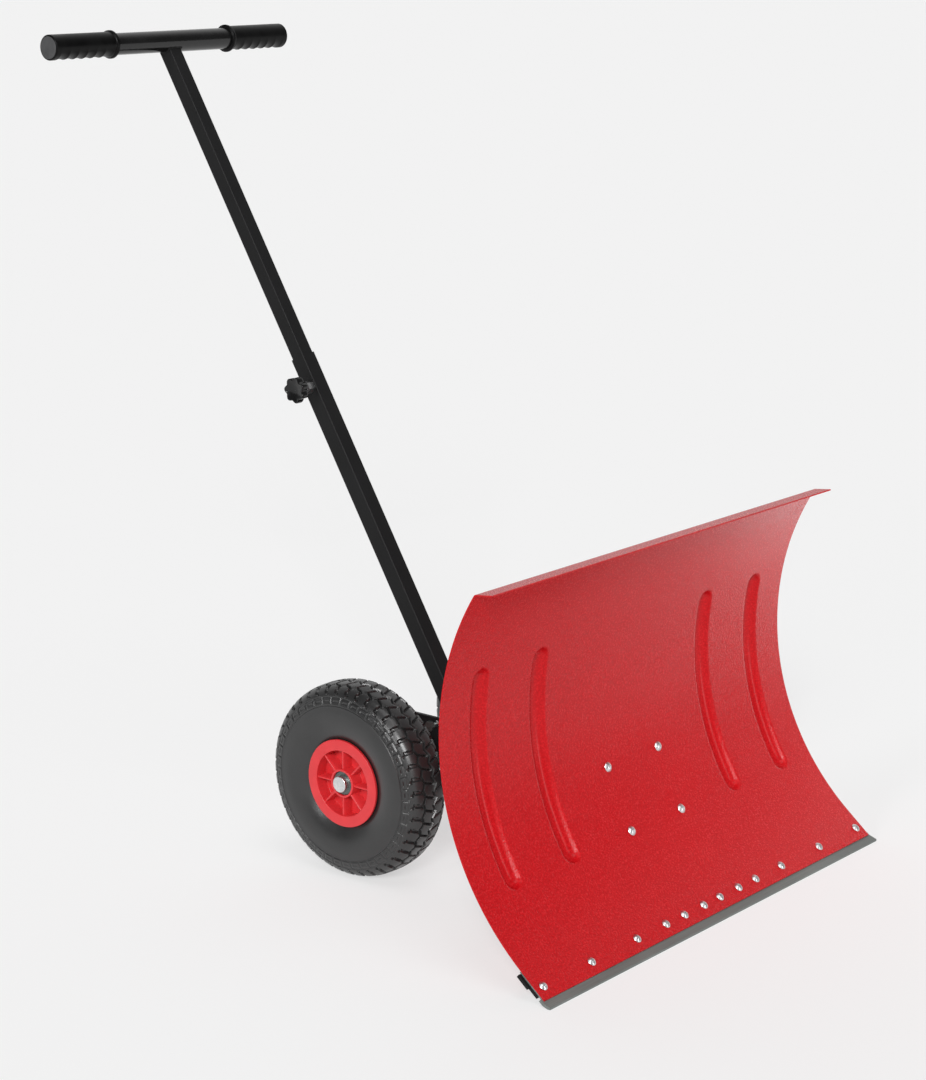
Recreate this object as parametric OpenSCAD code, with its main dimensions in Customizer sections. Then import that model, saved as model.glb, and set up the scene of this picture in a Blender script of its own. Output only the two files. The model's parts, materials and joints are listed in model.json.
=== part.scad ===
// Wheeled snow shovel: a curved steel blade on a two-wheeled frame, pushed by a telescopic pole with a T-bar.
// X is across the blade, the blade faces -Y and +Z is up. The origin is on the ground, at the middle of the
// flat on the scraper strip's lower edge.

/* [Blade] */
// Width of the blade
blade_w = 737; // [500:1:1000]
// Thickness of the blade sheet
sheet_t = 1.8; // [1.2:0.1:3]
// Height of the blade's lower edge above the ground
edge_z = 8; // [6:0.5:15]
// Distance of the blade's lower edge behind the scraper's ground line
edge_y = 8.5; // [4:0.5:15]
// Slope of the flat lower band, from the vertical
edge_angle = 50.75; // [45:0.25:55]
// Length of the flat lower band
band_len = 46; // [40:1:60]
// Radius of the curved part, on its front face
curve_r = 340; // [320:1:400]
// Angle of the curved part
curve_angle = 83.5; // [70:0.5:90]
// Length of the lip along the top
lip_len = 25.8; // [15:0.1:40]
// Rise of the lip from the horizontal
lip_rise = 6.8; // [0:0.1:15]

/* [Pressed ribs] */
// Distances of the ribs from the blade's middle
rib_x = [180, 297];
// Width of a rib's mouth
rib_w = 30; // [20:1:36]
// Depth of a rib
rib_depth = 9; // [5:0.5:12]
// Start and end of a rib, along the sheet from the lower edge
rib_span = [137, 419];

/* [Scraper] */
// Thickness of the scraper strip
strip_t = 3; // [2:0.5:5]
// How far the strip and the clamp bar stand out at each end of the blade
strip_proud = 3.5; // [0:0.5:6]
// Slope of the strip's lower flap, from the horizontal
flap_angle = 18; // [12:1:24]
// Distances of the strip bolts from the blade's middle
strip_bolt_x = [18.4, 61.8, 102.1, 164.4, 258.8, 354.7];
// Distance of the strip bolts from the blade's lower edge, along the sheet
strip_bolt_s = 17; // [14:0.5:24]
// Thickness of the clamp bar
bar_t = 4; // [3:0.5:6]

/* [Frame] */
// Distance of the frame's cheeks and of their bolts from the middle
cheek_x = 55.5; // [50:0.5:70]
// Thickness of a cheek
cheek_t = 5; // [4:0.5:8]
// Thickness of the plates that hold the cheeks on the blade
mount_t = 4; // [3:0.5:6]
// Width of those plates
mount_w = 38; // [34:1:50]
// Places of the frame bolts along the sheet
frame_bolt_s = [144.4, 231.7];

/* [Wheels] */
// Distance of the axle behind the scraper's ground line
axle_y = 477.5; // [440:0.5:520]
// Radius of the tyre, which is the height of the axle
wheel_r = 133; // [125:0.5:140]
// Distance of each wheel's middle plane from the middle of the shovel
wheel_x = 170; // [150:1:200]
// Half of the tyre's width
tyre_half_w = 39; // [34:0.5:42]
// Thickness of the tyre's wall
tyre_wall = 9; // [6:0.5:14]
// Radius of the rim's flange
flange_r = 60; // [58:0.5:62]
// Half of the rim's width over its flanges
rim_half_w = 34; // [32:0.5:36]
// Number of ribs in the rim
rim_ribs = 8; // [5:1:12]
// Radius of the axle
axle_r = 8; // [6:0.5:10]

/* [Pole] */
// Slope of the pole from the horizontal
pole_angle = 59.05; // [50:0.05:70]
// Place of the pole's pivot bolt behind the scraper's ground line
pivot_y = 418.1; // [410:0.1:425]
// Height of the pole's pivot bolt
pivot_z = 140; // [136:0.5:146]
// Distance of the lock bolt from the pivot bolt
lock_r = 52; // [48:0.5:54]
// Tilt of the pole to the front and to the back
tilt = [10, 12];
// Side of the lower tube
lower_a = 25; // [25:0.5:30]
// Wall of the lower tube
lower_wall = 1.2; // [1:0.1:1.2]
// Side of the upper tube
upper_a = 22; // [20:0.5:22]
// Wall of the upper tube
upper_wall = 1.5; // [1.2:0.1:2.5]
// Distance from the pivot to the top of the lower tube
lower_top = 598; // [500:1:700]
// Length of the upper tube that is inside the lower one
overlap = 150; // [120:1:250]
// Distance of the clamp knob below the top of the lower tube
knob_drop = 46; // [30:1:60]

/* [Handle] */
// Distance from the pivot to the T-bar
bar_s = 1087.6; // [1000:0.1:1200]
// How far the T-bar's centre line stands in front of the pole's
bar_front = 5; // [0:0.5:5]
// Length over both grips
handle_w = 451; // [380:1:600]
// Radius of the T-bar
bar_r = 15; // [14:0.5:16]
// Length of a grip
grip_len = 115; // [100:1:130]
// Radius of a grip
grip_r = 17.5; // [17:0.5:19]
// Number of finger hollows under a grip
fingers = 6; // [4:1:6]

/* [Knob] */
// Radius over the knob's lobes
knob_r = 18.5; // [16:0.5:22]
// Number of lobes
lobes = 7; // [5:1:9]
// Thickness of the knob's head
knob_t = 12; // [10:0.5:16]
// Distance of the knob's head from the middle of the pole
knob_x = 33; // [32:0.5:36]

/* [Hidden] */
$fn = 180;
gap = 0.3;             // play between pieces that move past each other
fit = 0.06;            // play of a shaft in its bore

blade_red = "#c4272b";
frame_black = "#26262a";
zinc = "#d5d7d9";

// The sheet's front face: a point at a distance s from the lower edge, and its slope from the vertical
band_end = [edge_y + band_len * sin(edge_angle), edge_z + band_len * cos(edge_angle)];
curve_c = band_end + curve_r * [-cos(edge_angle), sin(edge_angle)];
function slope(s) = s < band_len ? edge_angle : edge_angle - (s - band_len) / curve_r * 180 / PI;
function face_at(s) = s < band_len
    ? [edge_y + s * sin(edge_angle), edge_z + s * cos(edge_angle)]
    : curve_c + curve_r * [cos(slope(s)), -sin(slope(s))];
sheet_len = band_len + curve_r * curve_angle * PI / 180;

// Rib: where a ring of round section stands out behind the sheet's curve, so that its ends run out
rib_r = (pow(rib_w / 2, 2) + pow(rib_depth, 2)) / (2 * rib_depth);
rib_mid = -slope((rib_span[0] + rib_span[1]) / 2);
rib_ring_r = 1 / (1 / curve_r + 8 * rib_depth / pow(rib_span[1] - rib_span[0], 2));
rib_offset = curve_r + rib_depth - rib_ring_r;

m6_r = 3;
m8_r = 4;
m10_r = 5;
bolt_play = 0.2;
bolt_stub = 2.5;       // how far a bolt stands out of its nut
// Button heads: radius, height, radius of the socket
m6_button = [6.5, 3.4, 2.4];
m8_button = [7, 3.8, 2.8];
// Hexagon nuts: size over the flats, height
m6_nut = [10, 5];
m8_nut = [13, 6.5];
m10_nut = [16, 8];
// Hexagon heads: size over the flats, height
m8_head = [13, 5.5];
m10_head = [16, 6.5];
strip_len = blade_w + 2 * strip_proud;
strip_top_s = 46;      // top of the strip, along the sheet
strip_ear_s = 4;       // the strip is as wide as the blade above this
strip_ear = 1;         // how far its upper ends stand back from the blade's
bar_span = [9, 44];    // clamp bar, along the sheet
bar_cut_s = 24;        // its lower corners are cut away up to here
mount_span = [122, 254];
mount_r = curve_r + sheet_t + mount_t;
cheek_in = cheek_x - cheek_t / 2;
cheek_out = cheek_x + cheek_t / 2;
axle_lobe_r = 28;
cheek_top_z = 197;
cheek_top_r = 28;
cheek_front_y = 100;
cheek_front_z = [121, 163];
cheek_back_y = 430;    // start of the level top edge
cross_r = 12.5;
cross_wall = 2;
cross_at = [[205, 146], [325, 152]];

tyre_mid_r = wheel_r - tyre_half_w;
flange_t = 4;
barrel_r = 50;         // bead seat
recess_r = 45;
boss_r = 19.5;
boss_bore_r = 16.5;
bush_len = 20;
bush_end = rim_half_w - 4;
washer_t = 1.2;
axle_end = wheel_x + bush_end + 8;
spacer_r = 11;
cap_r = 11;
cap_t = 1.5;
cap_edge = 1;
web_span = [11, 15];   // web of the rim, from the wheel's middle plane
rim_rib_t = 2.6;
rim_rib_edge = 3;

upper_low = lower_top - overlap;
knob_s = lower_top - knob_drop;
foot_s = -16;
foot_t = 2.5;
foot_depth = 9;
guide_t = 4;
guide_depth = 14;
lower_corner = 2.4;
upper_corner = 2.2;
bar_wall = 1.5;
grip_end_t = 3.5;
grip_ring = [2, 5];    // how far the ring stands out, and its width
hollow_r = 30;
hollow_depth = 1.4;
grip_margin = 9;       // plain length at both ends of the finger hollows
pad_t = 1.3;
dog_r = 1.8;
dog_len = 0.9;
boss_flats = 16;
boss_h = 10;
knob_neck = 4;
knob_neck_r = 8.5;
scallop_r = 6.5;
scallop_depth = 3.6;
knob_face_t = 3;       // closed face of the knob, over the end of the stud

// ---- helpers ----

// Extrudes a Y-Z outline along X, centred on x
module along_x(w, x = 0) {
    translate([x - w / 2, 0, 0]) rotate([90, 0, 90]) linear_extrude(w) children();
}

// A cylinder along X, from x0 to x1
module rod_x(r, x0, x1) {
    translate([x0, 0, 0]) rotate([0, 90, 0]) cylinder(r = r, h = x1 - x0);
}

module tube_x(r_out, r_in, x0, x1) {
    difference() {
        rod_x(r_out, x0, x1);
        rod_x(r_in, x0 - 1, x1 + 1);
    }
}

// Moves children to the sheet's front face, local +Z out of its back
module at_sheet(s, x = 0) {
    p = face_at(s);
    translate([x, p[0], p[1]]) rotate([-90 - slope(s), 0, 0]) children();
}

// Local +Z along the pole, from the pivot
module on_pole() {
    translate([0, pivot_y, pivot_z]) rotate([pole_angle - 90, 0, 0]) children();
}

module mirror_x(on = true) {
    mirror([on ? 1 : 0, 0, 0]) children();
}

module both_sides() {
    children();
    mirror_x() children();
}

module rounded_square(a, r) {
    square([a - 2 * r, a], center = true);
    square([a, a - 2 * r], center = true);
    for (sx = [-1, 1], sy = [-1, 1])
        translate([sx, sy] * (a / 2 - r)) circle(r);
}

// A sector of the plane from angle a0 to a1, out to a radius r
module sector(r, a0, a1) {
    mid = (a0 + a1) / 2;
    polygon([[0, 0], for (a = [a0, mid, a1]) r * [cos(a), sin(a)]]);
}

module square_tube(a, wall, corner, z0, z1) {
    translate([0, 0, z0]) linear_extrude(z1 - z0) difference() {
        rounded_square(a, corner);
        rounded_square(a - 2 * wall, corner - wall + 0.2);
    }
}

// Round head with a hexagonal socket, on the local -Z side of z = 0
module button_head(size) {
    r = size[0];
    h = size[1];
    dome_r = (r * r + h * h) / (2 * h);
    difference() {
        translate([0, 0, dome_r - h]) sphere(dome_r);
        translate([0, 0, dome_r]) cube(2 * dome_r + 1, center = true);
        translate([0, 0, -h - 1]) cylinder(r = size[2], h = h * 0.55 + 1, $fn = 6);
    }
}

module hex_nut(size, bore) {
    difference() {
        cylinder(r = size[0] / sqrt(3), h = size[1], $fn = 6);
        translate([0, 0, -1]) cylinder(r = bore, h = size[1] + 2);
    }
}

// ---- blade ----

// The curved part, the flat band, the lip and the bend that joins the lip on
module sheet() {
    end_angle = -slope(sheet_len);
    end = face_at(sheet_len);
    along_x(blade_w) intersection() {
        translate(curve_c) difference() {
            circle(curve_r + sheet_t, $fn = 720);
            circle(curve_r, $fn = 720);
        }
        translate(curve_c) sector(2 * curve_r, -edge_angle, end_angle);
    }
    back = sheet_t * [cos(edge_angle), -sin(edge_angle)];
    along_x(blade_w) polygon([[edge_y, edge_z], band_end, band_end + back, [edge_y, edge_z] + back]);
    lip = lip_len * [-cos(lip_rise), sin(lip_rise)];
    lip_up = sheet_t * [sin(lip_rise), cos(lip_rise)];
    along_x(blade_w) polygon([end, end + lip, end + lip + lip_up, end + lip_up]);
    along_x(blade_w) intersection() {
        translate(end) circle(sheet_t);
        translate(end) sector(4 * sheet_t, end_angle, 90 - lip_rise);
    }
}

// The ring whose outside presses a rib into the sheet, grown by a wall thickness
module rib_ring(grow) {
    place = curve_c + rib_offset * [cos(rib_mid), sin(rib_mid)];
    translate([0, place[0], place[1]]) rotate([90, 0, 90]) rotate_extrude($fn = 360)
        translate([rib_ring_r - rib_r, 0]) circle(rib_r + grow, $fn = 96);
}

module blade() color(blade_red) difference() {
    union() {
        sheet();
        for (side = [-1, 1], x = rib_x) translate([side * x, 0, 0]) difference() {
            rib_ring(sheet_t);
            translate([0, curve_c[0], curve_c[1]])
                rod_x(curve_r + sheet_t / 2, -2 * rib_w, 2 * rib_w, $fn = 720);
        }
    }
    for (side = [-1, 1], x = rib_x) translate([side * x, 0, 0]) rib_ring(0);
    for (side = [-1, 1], x = strip_bolt_x)
        at_sheet(strip_bolt_s, side * x) translate([0, 0, -1])
            cylinder(r = m6_r + bolt_play, h = sheet_t + 2);
    for (side = [-1, 1], s = frame_bolt_s)
        at_sheet(s, side * cheek_x) translate([0, 0, -1])
            cylinder(r = m8_r + bolt_play, h = sheet_t + 2);
}

// ---- scraper strip, clamp bar and their bolts ----

// A point at a distance s along the flat band and d behind its front face
function band_at(s, d) = [edge_y, edge_z] + s * [sin(edge_angle), cos(edge_angle)]
    + d * [cos(edge_angle), -sin(edge_angle)];

module strip_bolt_places() {
    for (side = [-1, 1], x = strip_bolt_x) at_sheet(strip_bolt_s, side * x) children();
}

module scraper_strip() color("#8b8d8c") difference() {
    flat = 2;
    fold = band_at(0, sheet_t);
    low = band_at(0, sheet_t + strip_t);
    // the underside of the flap meets the back of the upper part
    reach = ((low[0] - flat) / tan(edge_angle) - low[1]) / (1 / tan(edge_angle) - tan(flap_angle));
    along_x(strip_len) polygon([
        [-flat, 0], [flat, 0], [flat + reach, reach * tan(flap_angle)],
        band_at(strip_top_s, sheet_t + strip_t), band_at(strip_top_s, sheet_t), fold,
        [-flat, fold[1] - (fold[0] + flat) * tan(flap_angle)]]);
    both_sides() translate([blade_w / 2 - strip_ear + strip_proud, 0, 0]) along_x(2 * strip_proud)
        polygon([band_at(strip_ear_s, sheet_t - 1), band_at(strip_top_s + 1, sheet_t - 1),
            band_at(strip_top_s + 1, sheet_t + strip_t + 1), band_at(strip_ear_s, sheet_t + strip_t + 1)]);
    strip_bolt_places() cylinder(r = m6_r + bolt_play, h = 20);
}

module clamp_bar() color(frame_black) difference() {
    d = sheet_t + strip_t;
    along_x(strip_len) polygon([band_at(bar_span[0], d), band_at(bar_span[1], d),
        band_at(bar_span[1], d + bar_t), band_at(bar_span[0], d + bar_t)]);
    // the lower corners are cut away at the ends
    both_sides() translate([strip_len / 2, 0, 0]) along_x(2 * strip_proud)
        polygon([band_at(bar_span[0] - 1, d - 1), band_at(bar_cut_s, d - 1),
            band_at(bar_cut_s, d + bar_t + 1), band_at(bar_span[0] - 1, d + bar_t + 1)]);
    strip_bolt_places() cylinder(r = m6_r + bolt_play, h = 20);
}

module strip_bolts() color(zinc) strip_bolt_places() {
    button_head(m6_button);
    translate([0, 0, -1]) cylinder(r = m6_r, h = 1 + sheet_t + strip_t + bar_t + m6_nut[1] + bolt_stub);
}

module strip_nuts() color(zinc) strip_bolt_places()
    translate([0, 0, sheet_t + strip_t + bar_t]) hex_nut(m6_nut, m6_r + fit);

// ---- frame ----

module frame_bolt_places() {
    for (side = [-1, 1], s = frame_bolt_s) at_sheet(s, side * cheek_x) children();
}

module frame_bolts() color(zinc) frame_bolt_places() {
    button_head(m8_button);
    translate([0, 0, -1]) cylinder(r = m8_r, h = 1 + sheet_t + mount_t + m8_nut[1] + bolt_stub);
}

module frame_nuts() color(zinc) frame_bolt_places()
    translate([0, 0, sheet_t + mount_t]) hex_nut(m8_nut, m8_r + fit);

module mount_plate() {
    difference() {
        along_x(mount_w, cheek_x) intersection() {
            translate(curve_c) difference() {
                circle(mount_r, $fn = 720);
                circle(mount_r - mount_t, $fn = 720);
            }
            translate(curve_c) sector(2 * curve_r, -slope(mount_span[0]), -slope(mount_span[1]));
        }
        frame_bolt_places() cylinder(r = m8_r + bolt_play, h = 20);
    }
}

// Points of an arc about c, from angle a0 to a1
function arc(c, r, a0, a1, n = 12) =
    [for (i = [0 : n]) let (a = a0 + (a1 - a0) * i / n) c + r * [cos(a), sin(a)]];

module cheek_outline() {
    lobe_c = [axle_y, wheel_r];
    top_c = [axle_y + axle_lobe_r - cheek_top_r, cheek_top_z - cheek_top_r];
    difference() {
        polygon(concat([[cheek_front_y, cheek_front_z[0]]],
            arc(lobe_c, axle_lobe_r, -92, 0), arc(top_c, cheek_top_r, 0, 90),
            [[cheek_back_y, cheek_top_z], [cheek_front_y, cheek_front_z[1]]]));
        translate(curve_c) circle(mount_r, $fn = 720);
        translate(lobe_c) circle(axle_r + fit);
        translate([pivot_y, pivot_z]) circle(m10_r + fit);
        lock_slot();
    }
}

// Arc slot in which the lock bolt travels
module lock_slot() {
    low = pole_angle - tilt[0];
    high = pole_angle + tilt[1];
    half_w = m8_r + gap;
    pivot = [pivot_y, pivot_z];
    low_c = pivot + lock_r * [cos(low), sin(low)];
    high_c = pivot + lock_r * [cos(high), sin(high)];
    polygon(concat(arc(pivot, lock_r + half_w, low, high), arc(high_c, half_w, high, high + 180),
        arc(pivot, lock_r - half_w, high, low), arc(low_c, half_w, low + 180, low + 360)));
}

module cheek() along_x(cheek_t, cheek_x) cheek_outline();

module left_mount_plate() color(frame_black) mirror_x() mount_plate();
module right_mount_plate() color(frame_black) mount_plate();
module left_cheek() color(frame_black) mirror_x() cheek();
module right_cheek() color(frame_black) cheek();

module cross_tube(i) translate([0, cross_at[i][0], cross_at[i][1]])
    tube_x(cross_r, cross_r - cross_wall, -cheek_in, cheek_in);

module front_cross_tube() color(frame_black) cross_tube(0);
module rear_cross_tube() color(frame_black) cross_tube(1);

// ---- axle and wheels ----

module at_axle() {
    translate([0, axle_y, wheel_r]) children();
}

// Local z = 0 at the wheel's middle plane, local +Z to the outside
module at_wheel() {
    at_axle() translate([wheel_x, 0, 0]) rotate([0, 90, 0]) children();
}

module axle() color(zinc) at_axle() rod_x(axle_r, -axle_end, axle_end);

module axle_spacer() at_axle()
    tube_x(spacer_r, axle_r + fit, cheek_out, wheel_x - bush_end - washer_t - gap);

module left_axle_spacer() color(frame_black) mirror_x() axle_spacer();
module right_axle_spacer() color(frame_black) axle_spacer();

module axle_washers() color(zinc) both_sides() at_axle() {
    inner = wheel_x - bush_end - gap;
    outer = wheel_x + bush_end + gap;
    tube_x(boss_bore_r - 1, axle_r + fit, inner - washer_t, inner);
    tube_x(boss_bore_r - 1, axle_r + fit, outer, outer + washer_t);
}

// Pressed cap that holds the wheel on the axle
module axle_cap() at_axle() {
    start = wheel_x + bush_end + gap + washer_t;
    end = axle_end + cap_t;
    difference() {
        union() {
            rod_x(cap_r, start, end - cap_edge);
            rod_x(cap_r - cap_edge, start, end);
            translate([end - cap_edge, 0, 0]) rotate([0, 90, 0]) rotate_extrude()
                translate([cap_r - cap_edge, 0]) intersection() {
                    circle(cap_edge);
                    square(cap_edge);
                }
        }
        rod_x(axle_r + fit, start - 1, axle_end + fit);
    }
}

module left_axle_cap() color(zinc) mirror_x() axle_cap();
module right_axle_cap() color(zinc) axle_cap();

module rim() at_wheel() {
    rotate_extrude() {
        translate([recess_r, -rim_half_w]) square([barrel_r - recess_r, 2 * rim_half_w]);
        for (z = [-rim_half_w, rim_half_w - flange_t])
            translate([recess_r, z]) square([flange_r - recess_r, flange_t]);
        translate([boss_bore_r, -rim_half_w]) square([boss_r - boss_bore_r, 2 * rim_half_w]);
        translate([boss_r - 1, web_span[0]]) square([recess_r - boss_r + 2, web_span[1] - web_span[0]]);
    }
    for (i = [0 : rim_ribs - 1]) rotate([0, 0, i * 360 / rim_ribs])
        translate([boss_r - 1, -rim_rib_t / 2, -rim_half_w + rim_rib_edge])
            cube([recess_r - boss_r + 2, rim_rib_t, 2 * (rim_half_w - rim_rib_edge)]);
}

module tyre() at_wheel() rotate_extrude() difference() {
    half = [[24, wheel_r - 0.4], [33, wheel_r - 11], [tyre_half_w - 2, tyre_mid_r + 12],
        [tyre_half_w, tyre_mid_r], [36.5, 76], [31.5, flange_r - 2], [28, barrel_r]];
    union() {
        translate([tyre_mid_r, 0]) circle(tyre_half_w);
        polygon(concat([for (p = half) [p[1], p[0]]],
            [for (i = [len(half) - 1 : -1 : 0]) [half[i][1], -half[i][0]]]));
    }
    translate([tyre_mid_r, 0]) circle(tyre_half_w - tyre_wall);
    translate([barrel_r - 1, -14]) square([30, 28]);
    translate([0, -tyre_half_w]) square([barrel_r + gap, 2 * tyre_half_w]);
    for (z = [-tyre_half_w, rim_half_w - flange_t - gap])
        translate([0, z]) square([flange_r + gap, tyre_half_w - rim_half_w + flange_t + gap]);
}

module bushes() at_wheel() for (z = [-bush_end, bush_end - bush_len])
    translate([0, 0, z]) difference() {
        cylinder(r = boss_bore_r, h = bush_len);
        translate([0, 0, -1]) cylinder(r = axle_r + fit, h = bush_len + 2);
    }

module left_rim() color("#e0383c") mirror_x() rim();
module right_rim() color("#e0383c") rim();
module left_tyre() color("#303032") mirror_x() tyre();
module right_tyre() color("#303032") tyre();
module left_bushes() color("#3c4442") mirror_x() bushes();
module right_bushes() color("#3c4442") bushes();

// ---- pivot and lock bolts ----

module at_pivot() {
    translate([0, pivot_y, pivot_z]) children();
}

// Hexagon head on a shank along X, with its head on the left
module hex_bolt(r, head, head_x, end_x) {
    translate([-head_x, 0, 0]) rotate([0, -90, 0]) cylinder(r = head[0] / sqrt(3), h = head[1], $fn = 6);
    rod_x(r, -head_x, end_x);
}

module side_nut(size, x, bore) {
    translate([x, 0, 0]) rotate([0, 90, 0]) hex_nut(size, bore);
}

module pivot_bolt() color(zinc) at_pivot()
    hex_bolt(m10_r, m10_head, cheek_out, cheek_out + m10_nut[1] + bolt_stub);
module pivot_nut() color(zinc) at_pivot() side_nut(m10_nut, cheek_out, m10_r + fit);

module pivot_spacers() color(zinc) both_sides() at_pivot()
    tube_x(9, m10_r + fit, lower_a / 2 + gap, cheek_in);

module at_lock() {
    on_pole() translate([0, 0, lock_r]) children();
}

module lock_bolt() color(zinc) at_lock()
    hex_bolt(m8_r, m8_head, cheek_out + gap, cheek_out + gap + m8_nut[1] + bolt_stub);
module lock_nut() color(zinc) at_lock() side_nut(m8_nut, cheek_out + gap, m8_r + fit);

module lock_spacers() color(zinc) both_sides() at_lock()
    tube_x(7.5, m8_r + fit, lower_a / 2, cheek_in - gap);

// ---- pole ----

module lower_pole() color(frame_black) on_pole() difference() {
    square_tube(lower_a, lower_wall, lower_corner, foot_s, lower_top);
    rod_x(m10_r + fit, -lower_a, lower_a);
    translate([0, 0, lock_r]) rod_x(m8_r + fit, -lower_a, lower_a);
    translate([0, 0, knob_s]) rod_x(m8_r + 1, -lower_a, 0);
}

module foot_plug() color("#1c1c1e") on_pole() {
    inside = lower_a - 2 * lower_wall - 0.2;
    translate([0, 0, foot_s - foot_t]) linear_extrude(foot_t) rounded_square(lower_a, lower_corner);
    translate([0, 0, foot_s]) linear_extrude(foot_depth) rounded_square(inside, lower_corner / 2);
}

module clamp_boss() color(zinc) on_pole() translate([-lower_a / 2, 0, knob_s]) rotate([0, -90, 0])
    hex_nut([boss_flats, boss_h], m8_r + fit);

module upper_pole() color(frame_black) on_pole() difference() {
    square_tube(upper_a, upper_wall, upper_corner, upper_low, bar_s);
    translate([0, -bar_front, bar_s]) rod_x(bar_r, -upper_a, upper_a);
}

module guide_plug() color("#1c1c1e") on_pole() {
    inside = upper_a - 2 * upper_wall - 0.2;
    translate([0, 0, upper_low - guide_t]) linear_extrude(guide_t) rounded_square(upper_a, upper_corner);
    translate([0, 0, upper_low]) linear_extrude(guide_depth) rounded_square(inside, upper_corner / 2);
}

// ---- T-bar and grips ----

module at_bar() {
    on_pole() translate([0, -bar_front, bar_s]) children();
}

module t_bar() color(frame_black) at_bar()
    tube_x(bar_r, bar_r - bar_wall, -handle_w / 2 + grip_end_t, handle_w / 2 - grip_end_t);

module grip() at_bar() difference() {
    x0 = handle_w / 2 - grip_len;
    pitch = (grip_len - 2 * grip_margin) / fingers;
    union() {
        rod_x(grip_r, x0, handle_w / 2);
        rod_x(grip_r + grip_ring[0], x0, x0 + grip_ring[1]);
    }
    rod_x(bar_r + 0.05, x0 - 1, handle_w / 2 - grip_end_t);
    // shallow hollows in the underside, for the fingers
    rotate([90 - pole_angle, 0, 0]) for (i = [0 : fingers - 1])
        translate([x0 + grip_margin + (i + 0.5) * pitch, 0, -hollow_r - grip_r + hollow_depth])
            rotate([90, 0, 0]) cylinder(r = hollow_r, h = 4 * grip_r, center = true);
}

module left_grip() color("#141416") mirror_x() grip();
module right_grip() color("#141416") grip();

// ---- clamp knob ----

module at_knob() {
    on_pole() translate([0, 0, knob_s]) children();
}

module clamp_pad() color("#b08d4a") at_knob() {
    face = upper_a / 2 + gap;
    difference() {
        rod_x(m8_r - 0.3, -face - pad_t, -face);
        rod_x(dog_r + fit, -face - pad_t - 1, -face - pad_t + dog_len + 0.1);
    }
}

module clamp_stud() color(zinc) at_knob() {
    tip = -upper_a / 2 - gap - pad_t - 0.1;
    rod_x(m8_r, -knob_x - knob_t + knob_face_t + fit, tip);
    rod_x(dog_r, tip - 1, tip + dog_len);
}

module star_knob() color("#161618") at_knob() difference() {
    union() {
        difference() {
            rod_x(knob_r, -knob_x - knob_t, -knob_x);
            for (i = [0 : lobes - 1]) rotate([(i + 0.5) * 360 / lobes, 0, 0])
                translate([0, knob_r + scallop_r - scallop_depth, 0])
                    rod_x(scallop_r, -knob_x - knob_t - 1, -knob_x + 1);
        }
        rod_x(knob_neck_r, -knob_x - 1, -knob_x + knob_neck);
    }
    rod_x(m8_r + fit, -knob_x - knob_t + knob_face_t, -knob_x + knob_neck + 1);
}

blade();
scraper_strip();
clamp_bar();
strip_bolts();
strip_nuts();
frame_bolts();
frame_nuts();
left_mount_plate();
right_mount_plate();
left_cheek();
right_cheek();
front_cross_tube();
rear_cross_tube();
axle();
left_axle_spacer();
right_axle_spacer();
axle_washers();
left_axle_cap();
right_axle_cap();
left_rim();
right_rim();
left_tyre();
right_tyre();
left_bushes();
right_bushes();
pivot_bolt();
pivot_nut();
pivot_spacers();
lower_pole();
foot_plug();
lock_bolt();
lock_nut();
lock_spacers();
clamp_boss();
upper_pole();
guide_plug();
t_bar();
left_grip();
right_grip();
clamp_pad();
clamp_stud();
star_knob();
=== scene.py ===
"""The looks of a wheeled snow shovel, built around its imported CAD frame.

X is across the blade, the blade faces -Y, +Z is up, and lengths are in metres.
"""

import json
import math

import bpy
import numpy as np
from mathutils import Matrix, Vector


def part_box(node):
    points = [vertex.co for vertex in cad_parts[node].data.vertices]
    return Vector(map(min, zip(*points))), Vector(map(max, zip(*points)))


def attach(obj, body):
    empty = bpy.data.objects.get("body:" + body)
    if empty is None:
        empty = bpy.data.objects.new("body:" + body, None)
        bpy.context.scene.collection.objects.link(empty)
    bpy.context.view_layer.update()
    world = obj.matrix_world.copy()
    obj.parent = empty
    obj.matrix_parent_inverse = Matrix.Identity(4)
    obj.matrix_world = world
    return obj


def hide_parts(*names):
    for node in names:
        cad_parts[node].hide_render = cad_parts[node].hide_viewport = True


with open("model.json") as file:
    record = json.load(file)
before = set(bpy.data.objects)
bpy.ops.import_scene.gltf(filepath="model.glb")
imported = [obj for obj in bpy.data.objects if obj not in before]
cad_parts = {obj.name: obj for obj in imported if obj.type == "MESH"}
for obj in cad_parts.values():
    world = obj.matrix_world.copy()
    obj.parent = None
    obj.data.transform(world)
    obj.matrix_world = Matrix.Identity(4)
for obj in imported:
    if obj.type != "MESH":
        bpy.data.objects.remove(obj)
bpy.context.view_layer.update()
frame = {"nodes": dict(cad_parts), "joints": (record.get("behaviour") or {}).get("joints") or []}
nodes = frame["nodes"]
joints = {j["name"]: j for j in frame["joints"]}
MM = 0.001

# studio, in radiance: the backdrop, the sky that lights the scene, how much more comes from behind the
# shovel, the middle of that brighter side and the floor's own glow
PALE = 0.887
SKY_LIGHT = 0.12
BACK_LIGHT = 0.75
BACK_DIRECTION = (0.75, 0.66, 0)
BACK_EDGE = (0.15, 0.7)        # cosines off that middle between which the extra light sets in
FLOOR_GLOW = 0.557

# ---------------------------------------------------------------- sizes, from the frame

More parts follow.
